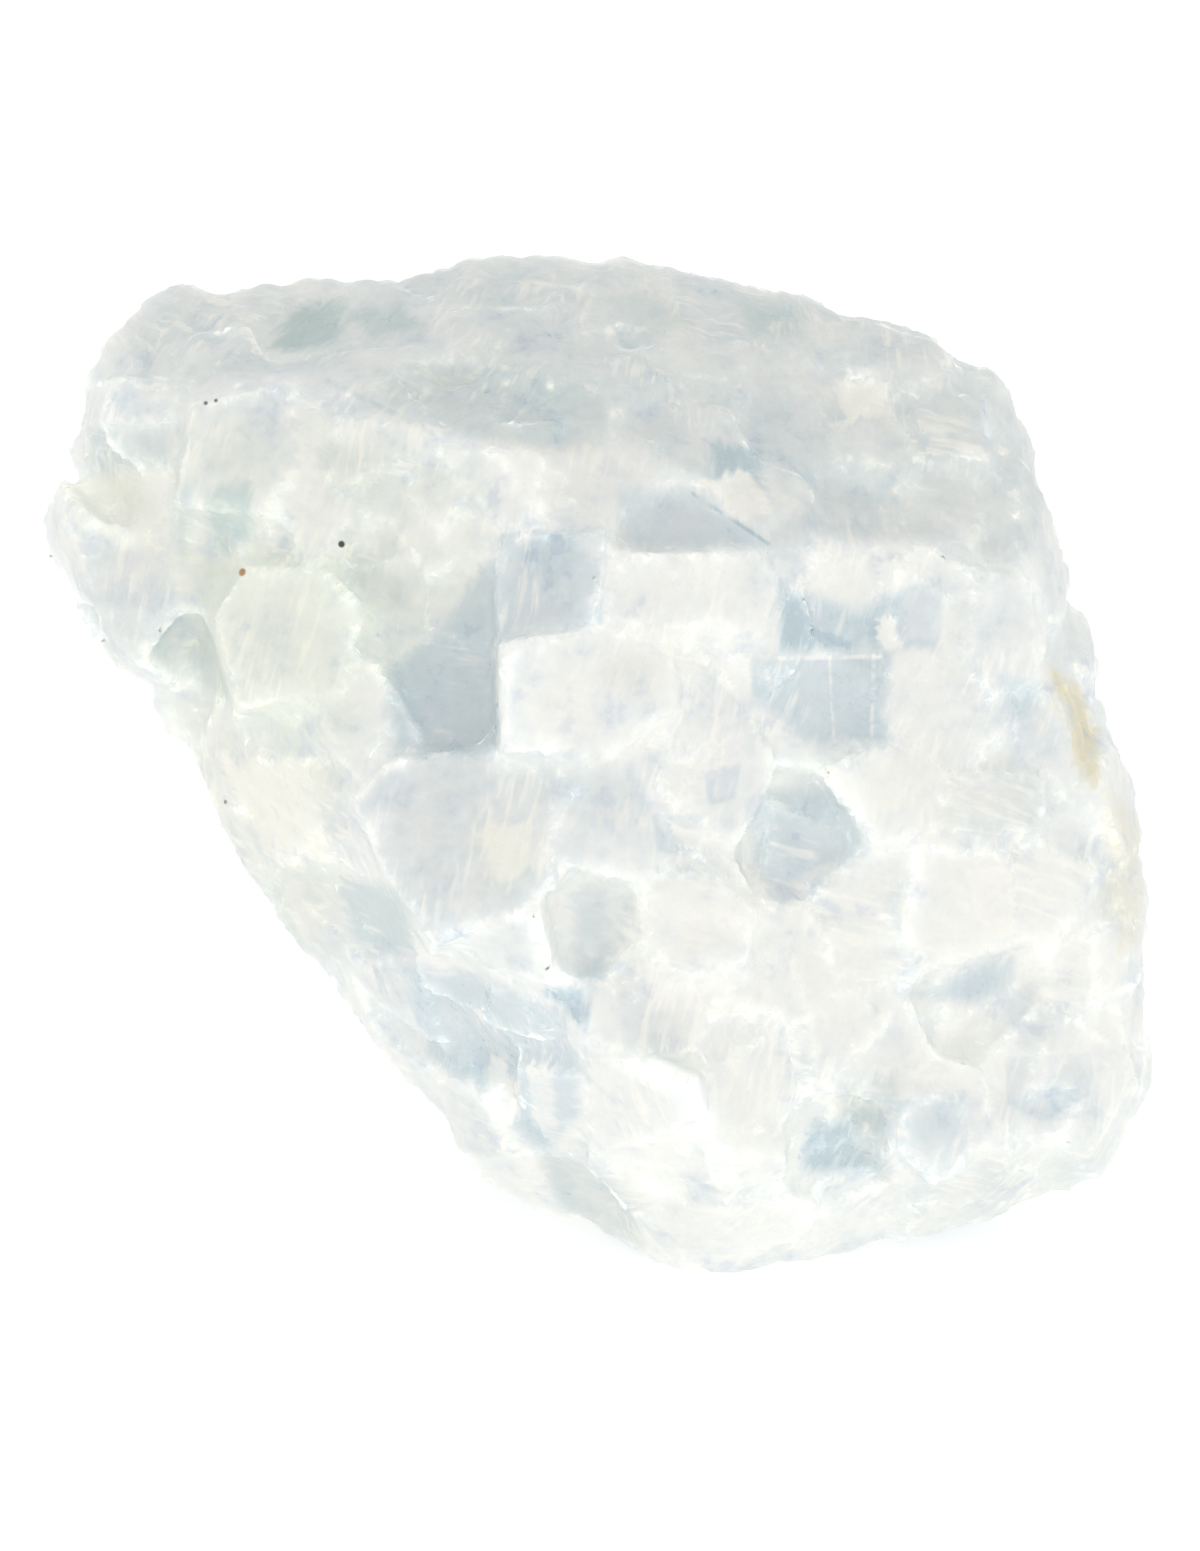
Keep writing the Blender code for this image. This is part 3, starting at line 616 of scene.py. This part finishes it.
# A short way to lay out a material's nodes
class Nodes:
    def __init__(self, tree):
        self.tree = tree

    def put(self, socket, value):
        if isinstance(value, bpy.types.NodeSocket):
            self.tree.links.new(value, socket)
        else:
            socket.default_value = value

    def add(self, kind, values=None, **settings):
        made = self.tree.nodes.new(kind)
        for name, value in settings.items():
            setattr(made, name, value)
        for name, value in (values or {}).items():
            self.put(made.inputs[name], value)
        return made

    def math(self, operation, a, b=0.0):
        return self.add("ShaderNodeMath", {0: a, 1: b}, operation=operation).outputs[0]

    def times(self, a, b):
        return self.math("MULTIPLY", a, b)

    def plus(self, a, b):
        return self.math("ADD", a, b)

    def vectors(self, operation, a, b):
        return self.add("ShaderNodeVectorMath", {0: a, 1: b}, operation=operation).outputs

    def remap(self, value, low, high, toLow=0.0, toHigh=1.0):
        values = {"Value": value, "From Min": low, "From Max": high}
        values.update({"To Min": toLow, "To Max": toHigh})
        return self.add("ShaderNodeMapRange", values, interpolation_type="SMOOTHSTEP").outputs[0]

    def mix(self, share, a, b):
        made = self.add("ShaderNodeMix", data_type="RGBA")
        for index, value in ((0, share), (6, a), (7, b)):
            self.put(made.inputs[index], value)
        return made.outputs[2]

    def multiply(self, a, b):
        made = self.add("ShaderNodeMix", data_type="RGBA", blend_type="MULTIPLY")
        for index, value in ((0, 1.0), (6, a), (7, b)):
            self.put(made.inputs[index], value)
        return made.outputs[2]

    def blend(self, share, a, b):
        return self.plus(self.times(self.math("SUBTRACT", 1.0, share), a), self.times(share, b))

    def number(self, name):
        return self.add("ShaderNodeAttribute", attribute_name=name).outputs["Fac"]

    def vector(self, name):
        return self.add("ShaderNodeAttribute", attribute_name=name).outputs["Vector"]

    def noise(self, place, size, detail=2.0, rough=0.5):
        values = {"Vector": place, "Scale": 1.0 / size, "Detail": detail, "Roughness": rough}
        return self.add("ShaderNodeTexNoise", values).outputs["Fac"]


# A colour as it looks on a screen, 0 to 255, as linear light
def linear(red, green, blue):
    parts = []
    for value in (red, green, blue):
        value /= 255
        parts.append(value / 12.92 if value < 0.04045 else ((value + 0.055) / 1.055) ** 2.4)
    return (*parts, 1.0)


# How the stone looks from clear to frosted, and the tints that lie over it
tints = {
    "clearest": (178, 196, 203),
    "clear": (203, 215, 219),
    "haze": (222, 227, 227),
    "milk": (237, 238, 234),
    "frost": (246, 245, 238),
    "teal": (238, 245, 241),
    # The grey tint is partly painted shade: on the roof, the bench hollow, the grey recess and the
    # foot
    "grey": (246, 246, 243),
    "cream": (255, 255, 248),
    "green": (253, 255, 251),
    "rust": (236, 224, 188),
    "violet": (246, 246, 253),
}

# Where each kind of patch lies between clear, 0, and frosted, 1; how soft and how ragged its edge is
zones = {
    "blue": (0.29, 0.7, 2.4),
    "teal": (0.32, 0.7, 2.4),
    "pane": (0.44, 0.16, 0.7),
    "block": (0.75, 0.20, 1.0),
    # grey: hazy stone, and painted shade on the roof, the bench hollow, the grey recess and the foot
    "grey": (0.46, 0.8, 2.8),
    "white": (0.84, 0.9, 3.4),
    # Flecks of white, and painted light where the patch is named glow
    "fleckAndGlow": (1.0, 0.4, 1.4),
}

# Frost runs from 0, clear, to 1, frosted; sizes are in mm
calcite = {
    "body": 0.68,
    "cloud": (4.6, 0.74),  # size and frost
    "mottle": (1.3, 0.36),
    "streak": 0.75,
    "streakStretch": 0.18,  # streaks are drawn out by one over this
    "feather": (7.0, 0.30),
    "facetFrost": 0.05,
    "backFacetFrost": -0.24,
    "clearFacets": 0.6,  # facets on the back above this number are windows
    "backWindow": 0.36,
    "seam": (0.7, 0.16, 0.3),  # width of frosted edges, their frost, and more on rough ground
    "roughness": 0.42,
    "windowPolish": 0.16,  # how much less rough the windows are
    "ior": 1.6,
    "specular": 0.35,
    "subsurface": 0.9,
    "radius": (3.0, 3.4, 3.6),
    "bump": 0.75,
    "roughBump": 0.3,
    "bumpDepth": 0.14,
    "bumpSize": 0.6,
}

# Thin lines in the picture, as two ends, a width in mm and how much they frost or clear the stone
strokes = {
    "crack": ((7.2, 21.4), (13, 17.5), 0.24, -0.36),
    "ridge crack": ((-21.2, 30.3), (-12.8, 25.9), 0.35, -0.2),
    "feather": ((-6.4, -24.3), (-7.6, -29.9), 0.35, 0.4),
    "rule across": ((13.4, 8.6), (21.8, 8.9), 0.26, 0.34),
    "rule leaning": ((17.8, 8.7), (18.2, 2.3), 0.2, 0.3),
    "rule right": ((21.3, 8.9), (21.1, 2.6), 0.24, 0.34),
}

# Tiny specks of dirt and rust in the picture: right, up and radius in mm, and a colour
specks = (
    (-20, 17.5, 0.34, (70, 70, 66)),
    (-27.8, 15.4, 0.4, (178, 132, 80)),
    (-30.7, 28.6, 0.22, (120, 120, 116)),
    (-29.9, 28.8, 0.2, (120, 120, 114)),
    (-29.8, -2.5, 0.22, (136, 134, 124)),
)


# Where a point of the stone lies in the picture, right and up in mm
def picturePlace(n, place):
    away = n.vectors("SUBTRACT", place, tuple(value / mm for value in pictureMiddle))[0]
    right = n.vectors("DOT_PRODUCT", away, (1.0, 0.0, 0.0))[1]
    up = n.vectors("DOT_PRODUCT", away, tuple(pictureUp))[1]
    return n.add("ShaderNodeCombineXYZ", {"X": right, "Y": up}).outputs[0]


# 1 on a straight stroke from a to b, fading out over its width
def strokeMask(n, spot, a, b, width):
    start = Vector((*a, 0.0))
    side = Vector((*b, 0.0)) - start
    away = n.vectors("SUBTRACT", spot, tuple(start))[0]
    along = n.vectors("DOT_PRODUCT", away, tuple(side / side.length_squared))[1]
    along = n.add("ShaderNodeClamp", {"Value": along}).outputs[0]
    foot = n.add("ShaderNodeVectorMath", {0: tuple(side), "Scale": along}, operation="SCALE")
    gap = n.vectors("DISTANCE", away, foot.outputs[0])[1]
    return n.remap(gap, width * 0.3, width, 1.0, 0.0)


# Calcite from clear blue windows to frosted white, by how much light its flaws scatter
def calciteMaterial():
    material = bpy.data.materials.new("blue calcite")
    material.use_nodes = True
    tree = material.node_tree
    tree.nodes.clear()
    n = Nodes(tree)
    tone = {name: linear(*value) for name, value in tints.items()}
    place = n.add("ShaderNodeTexCoord").outputs["Object"]
    inMillimetres = (1 / mm, 1 / mm, 1 / mm)
    place = n.add("ShaderNodeMapping", {"Vector": place, "Scale": inMillimetres}).outputs[0]
    facetPlace = n.vector("facetPlace")
    seen = n.number("seenSide")
    rough = n.number("rough")
    cloudSize, cloudFrost = calcite["cloud"]
    mottleSize, mottleFrost = calcite["mottle"]
    featherSize, featherFrost = calcite["feather"]
    cloud = n.math("SUBTRACT", n.noise(place, cloudSize, 2.0, 0.55), 0.5)
    mottle = n.math("SUBTRACT", n.noise(place, mottleSize, 2.0, 0.6), 0.5)
    streaky = n.vectors("MULTIPLY", facetPlace, (calcite["streakStretch"], 1.0, 1.0))[0]
    streak = n.math("SUBTRACT", n.noise(streaky, calcite["streak"], 2.0, 0.6), 0.5)
    ragged = n.plus(n.times(mottle, 0.5), n.plus(n.times(cloud, 0.8), n.times(streak, 0.9)))

    def mask(kind, soft, rag):
        field = n.plus(n.number(kind + "Field"), n.times(ragged, rag))
        return n.times(n.remap(field, -soft, soft), n.number(kind + "Depth"))

    # How frosted each place is: the body, its patches, clouds and feathery flaws; some patches are
    # painted shade and painted light
    unseen = n.math("SUBTRACT", 1.0, seen)
    crease = n.number("crease")
    clear = n.remap(n.number("facetTone"), calcite["clearFacets"], calcite["clearFacets"] + 0.1)
    rim = n.remap(n.plus(crease, n.times(streak, 4.0)), 0.2, 1.0)
    backWindow = n.times(n.times(clear, rim), unseen)
    frosting = n.times(n.times(n.number("facetTone"), calcite["backFacetFrost"]), unseen)
    level = n.plus(calcite["body"], frosting)
    level = n.blend(backWindow, level, calcite["backWindow"])
    masks = {kind: mask(kind, soft, rag) for kind, (_, soft, rag) in zones.items()}
    # Some grey patches paint shade, and the glow patches among the flecks paint light
    for kind in ("grey", "white", "blue", "teal", "pane", "block", "fleckAndGlow"):
        level = n.blend(masks[kind], level, zones[kind][0])
    window = n.math("MAXIMUM", n.math("MAXIMUM", masks["blue"], masks["teal"]), backWindow)
    uneven = n.plus(n.times(cloud, cloudFrost), n.times(mottle, mottleFrost))
    level = n.plus(level, n.times(uneven, n.math("SUBTRACT", 1.0, n.times(window, 0.5))))
    level = n.plus(level, n.times(n.number("facetTone"), calcite["facetFrost"]))
    feathered = n.remap(n.noise(place, featherSize, 1.0), 0.45, 0.62)
    feather = n.times(n.remap(streak, -0.02, 0.2), feathered)
    level = n.plus(level, n.times(feather, featherFrost))
    seamWidth, seamFrost, roughFrost = calcite["seam"]
    seam = n.times(n.remap(crease, 0.0, seamWidth, 1.0, 0.0), n.remap(mottle, -0.03, 0.14))
    level = n.plus(level, n.times(seam, n.plus(seamFrost, n.times(rough, roughFrost))))

    # Thin lines, on the seen side alone and broken up a little
    spot = picturePlace(n, place)
    broken = n.times(n.remap(mottle, -0.12, 0.08, 0.1, 1.0), seen)
    lines = 0.0
    for a, b, width, change in strokes.values():
        lines = n.plus(lines, n.times(strokeMask(n, spot, a, b, width), change))
    level = n.plus(level, n.times(lines, broken))

    # Colour: from clear to frosted, tinted, with specks
    ramp = n.add("ShaderNodeValToRGB", {"Fac": level})
    stops = ramp.color_ramp.elements
    stops[0].color = tone["clearest"]
    stops[1].color = tone["frost"]
    for position, name in ((0.28, "clear"), (0.52, "haze"), (0.74, "milk")):
        stops.new(position).color = tone[name]
    colour = ramp.outputs["Color"]
    tinted = {
        "teal": masks["teal"],
        # The grey share is partly painted shade, as in the grey patches
        "grey": masks["grey"],
        "cream": mask("warm", 1.6, 3.0),
        "green": mask("green", 1.0, 2.0),
        "rust": mask("rust", 0.8, 2.4),
        "violet": n.remap(n.times(mottle, cloud), 0.002, 0.02, 0.0, 0.6),
    }
    for name, share in tinted.items():
        tint = n.mix(share, (1.0, 1.0, 1.0, 1.0), tone[name])
        colour = n.multiply(colour, tint)

    for x, y, size, shade in specks:
        away = n.vectors("DISTANCE", spot, (x, y, 0.0))[1]
        share = n.times(n.remap(away, size * 0.5, size, 1.0, 0.0), seen)
        colour = n.mix(share, colour, linear(*shade))

    # Surface: satin, glossier in the windows
    bump = n.add("ShaderNodeBump", {
        "Strength": n.plus(calcite["bump"], n.times(rough, calcite["roughBump"])),
        "Distance": calcite["bumpDepth"] * mm,
        "Height": n.noise(place, calcite["bumpSize"], 1.0),
    })
    smoothest = calcite["roughness"] - calcite["windowPolish"]
    polish = n.remap(level, 0.1, 0.7, smoothest, calcite["roughness"])
    shader = n.add("ShaderNodeBsdfPrincipled", {
        "Base Color": colour,
        "Roughness": n.plus(polish, n.times(mottle, 0.3)),
        "IOR": calcite["ior"],
        "Normal": bump.outputs["Normal"],
        "Subsurface Weight": calcite["subsurface"],
        "Subsurface Radius": calcite["radius"],
        "Subsurface Scale": mm,
        "Specular IOR Level": calcite["specular"],
    })
    shader.subsurface_method = "BURLEY"
    n.add("ShaderNodeOutputMaterial", {"Surface": shader.outputs["BSDF"]})
    return material


chunk = makeStone()
print("stone made", flush=True)
chunk.data.materials.append(calciteMaterial())
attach(chunk, "root")
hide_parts("calcite")
print("calcite dressed", flush=True)

studio = {
    "floorSize": 3.0,
    "floorTone": 0.9,
    "floorGlow": 0.30,
    "zenith": 0.80,
    "horizon": 0.87,
    "keyPower": 1.35,
    "keySize": 0.7,
    "keyFrom": (0.35, -0.9, 0.34),
    "backPower": 0.5,
    "backSize": 0.5,
    "backFrom": (-0.6, 0.9, 0.45),
    "distance": 1.0,
}


# Plain pale table that glows a little, like back-lit white acrylic
def floorMaterial():
    material = bpy.data.materials.new("white table")
    material.use_nodes = True
    tree = material.node_tree
    shader = tree.nodes["Principled BSDF"]
    n = Nodes(tree)
    place = n.add("ShaderNodeTexCoord").outputs["Object"]
    level = studio["floorTone"]
    cloud = n.remap(n.noise(place, 0.4), 0.3, 0.7)
    tone = n.mix(cloud, (level, level, level, 1), (level * 0.99, level, level, 1))
    tree.links.new(tone, shader.inputs["Base Color"])
    shader.inputs["Roughness"].default_value = 0.9
    shader.inputs["Specular IOR Level"].default_value = 0.0
    shader.inputs["Emission Color"].default_value = (1, 1, 1, 1)
    shader.inputs["Emission Strength"].default_value = studio["floorGlow"]
    return material


# A large pale table top just under the chunk
def makeFloor():
    bm = bmesh.new()
    bmesh.ops.create_grid(bm, x_segments=2, y_segments=2, size=studio["floorSize"] / 2)
    mesh = bpy.data.meshes.new("table")
    bm.to_mesh(mesh)
    bm.free()
    mesh.materials.append(floorMaterial())
    table = bpy.data.objects.new("table", mesh)
    bpy.context.scene.collection.objects.link(table)


# A square soft light that looks at the chunk
def softBox(name, power, size, towards):
    away = Vector(towards).normalized()
    lamp = bpy.data.lights.new(name, "AREA")
    lamp.shape = "SQUARE"
    lamp.size = size
    lamp.energy = power
    box = bpy.data.objects.new(name, lamp)
    box.location = Vector((0, 0, 0.03)) + away * studio["distance"]
    box.rotation_euler = away.to_track_quat("Z", "Y").to_euler()
    bpy.context.scene.collection.objects.link(box)


# A large soft box in front, low and to the right, a weaker one behind, and a soft room
def makeLight():
    softBox("frontBox", studio["keyPower"], studio["keySize"], studio["keyFrom"])
    softBox("backBox", studio["backPower"], studio["backSize"], studio["backFrom"])
    world = bpy.data.worlds.new("room")
    world.use_nodes = True
    n = Nodes(world.node_tree)
    direction = n.add("ShaderNodeTexCoord").outputs["Generated"]
    up = n.add("ShaderNodeSeparateXYZ", {"Vector": direction}).outputs["Z"]
    level = n.remap(up, 0.0, 0.8, studio["horizon"], studio["zenith"])
    background = world.node_tree.nodes["Background"]
    background.inputs["Color"].default_value = (1.0, 1.0, 1.0, 1.0)
    world.node_tree.links.new(level, background.inputs["Strength"])
    bpy.context.scene.world = world


camera = {"lens": 180.0, "pictureHeight": 124.1, "shift": (0.0, -0.4)}


# Looks down at the chunk from the front with a long lens
def makeCamera():
    data = bpy.data.cameras.new("camera")
    data.lens = camera["lens"]
    data.sensor_width = 36.0
    data.clip_start = 0.01
    data.clip_end = 20.0
    distance = camera["lens"] / 36.0 * camera["pictureHeight"] * mm
    right, up = camera["shift"]
    aim = pictureMiddle + Vector((1, 0, 0)) * right * mm + pictureUp * up * mm
    eye = bpy.data.objects.new("camera", data)
    eye.location = aim + pictureNear * distance
    eye.rotation_euler = pictureNear.to_track_quat("Z", "Y").to_euler()
    bpy.context.scene.collection.objects.link(eye)
    bpy.context.scene.camera = eye


makeFloor()
makeLight()
makeCamera()
bpy.context.scene.view_settings.view_transform = "Standard"
bpy.context.scene.view_settings.look = "None"
print("studio made", flush=True)
